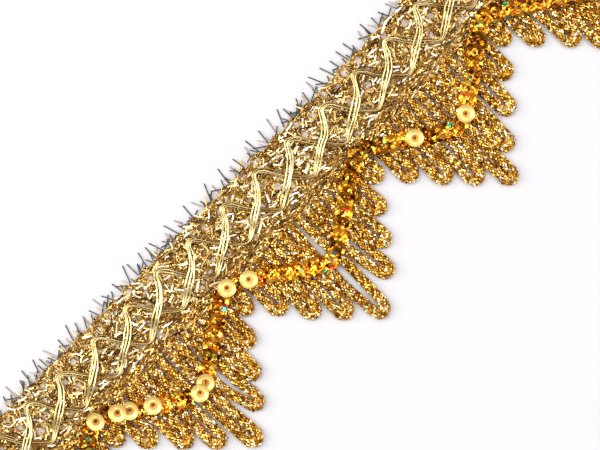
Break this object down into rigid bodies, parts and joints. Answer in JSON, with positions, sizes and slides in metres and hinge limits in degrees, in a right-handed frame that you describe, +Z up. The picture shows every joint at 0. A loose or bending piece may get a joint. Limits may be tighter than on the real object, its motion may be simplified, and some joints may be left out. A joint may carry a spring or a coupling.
{
  "type": "sequin trim",
  "caption": "Flat cut length of gold trim: knitted heading with tinsel edge, zig-zag row of cup sequins and pointed scallops of glitter cord loops.",
  "frame": {"origin": "centre of the trim's rectangle on the surface that it lies on", "axes": "+X along the trim, +Y towards the tinsel edge with the loops hanging towards -Y, +Z up from the surface"},
  "size_m": [0.2562, 0.0618, 0.0038],
  "materials": {
    "heading_yarn": "pale gold metallic chain yarn with silver and dark tinsel",
    "edge_yarn": "pale gold metallic chain yarn with stiff dark tinsel ends",
    "glitter_cord": "knitted gold metallic cord, glittering",
    "float_yarn": "flat glossy pale gold yarn",
    "sequins": "glossy holographic gold film"
  },
  "bodies": {
    "root": {"heading_band": "heading_yarn", "edge_row": "edge_yarn", "loop_cord": "glitter_cord", "float_a": "float_yarn", "float_b": "float_yarn", "sequin_row": "sequins"}
  },
  "joints": []
}
